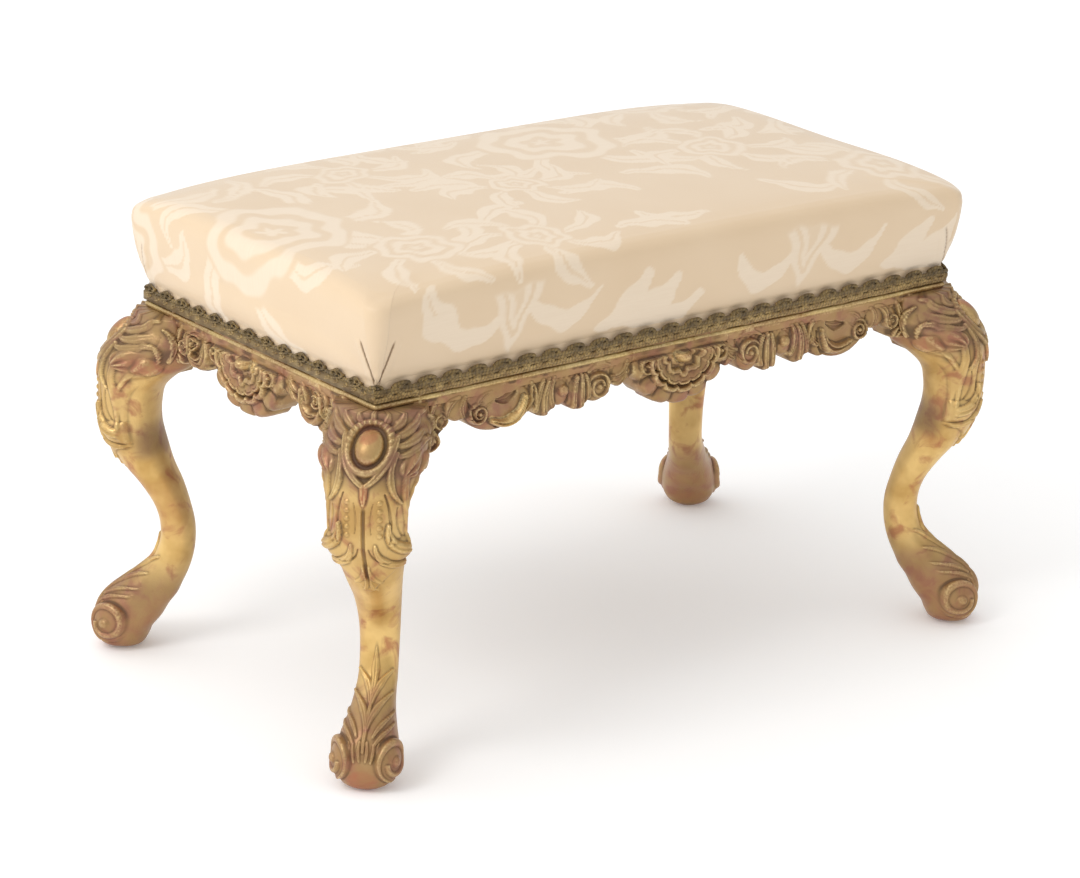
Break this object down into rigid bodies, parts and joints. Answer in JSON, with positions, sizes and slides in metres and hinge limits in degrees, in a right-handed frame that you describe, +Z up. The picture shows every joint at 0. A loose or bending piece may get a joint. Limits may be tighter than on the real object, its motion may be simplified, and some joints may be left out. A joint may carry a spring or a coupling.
{
  "type": "upholstered stool",
  "caption": "Low oblong stool: stuffed seat in pale damask on a carved giltwood frame with shell aprons, cabriole legs and scroll feet.",
  "frame": {"origin": "on the floor under the middle of the seat", "axes": "+X along the long side to the right, +Y to the back, +Z up"},
  "size_m": [0.8204, 0.4914, 0.4898],
  "materials": {
    "gilt_wood": "water-gilt over red bole on carved beech, rubbed to the bole on high points",
    "bare_beech": "plain sawn beech, unfinished",
    "oak_peg": "cleft oak, unfinished",
    "steel_screw": "plain steel, dulled",
    "blued_tack": "blued steel",
    "jute_webbing": "woven jute",
    "hessian_cloth": "coarse jute cloth",
    "curled_hair": "curled hair pad",
    "calico_cloth": "unbleached cotton",
    "silk_damask": "cream silk damask, satin ground",
    "gimp_trim": "antique gold scroll gimp"
  },
  "bodies": {
    "root": {"leg_front_left": "gilt_wood", "leg_front_right": "gilt_wood", "leg_back_left": "gilt_wood", "leg_back_right": "gilt_wood", "rail_front": "gilt_wood", "rail_back": "gilt_wood", "rail_left": "gilt_wood", "rail_right": "gilt_wood", "shell_front": "gilt_wood", "shell_back": "gilt_wood", "shell_left": "gilt_wood", "shell_right": "gilt_wood", "ear_front_left": "gilt_wood", "ear_front_right": "gilt_wood", "ear_back_left": "gilt_wood", "ear_back_right": "gilt_wood", "ear_left_left": "gilt_wood", "ear_left_right": "gilt_wood", "ear_right_left": "gilt_wood", "ear_right_right": "gilt_wood", "bead_front": "gilt_wood", "bead_back": "gilt_wood", "bead_left": "gilt_wood", "bead_right": "gilt_wood", "corner_block_front_left": "bare_beech", "corner_block_front_right": "bare_beech", "corner_block_back_left": "bare_beech", "corner_block_back_right": "bare_beech", "corner_block_screws": "steel_screw", "tenon_pegs": "oak_peg", "webbing_long": "jute_webbing", "webbing_cross": "jute_webbing", "webbing_tacks": "blued_tack", "hessian": "hessian_cloth", "stuffing": "curled_hair", "calico_undercover": "calico_cloth", "silk_cover": "silk_damask", "gimp_braid": "gimp_trim"}
  },
  "joints": []
}
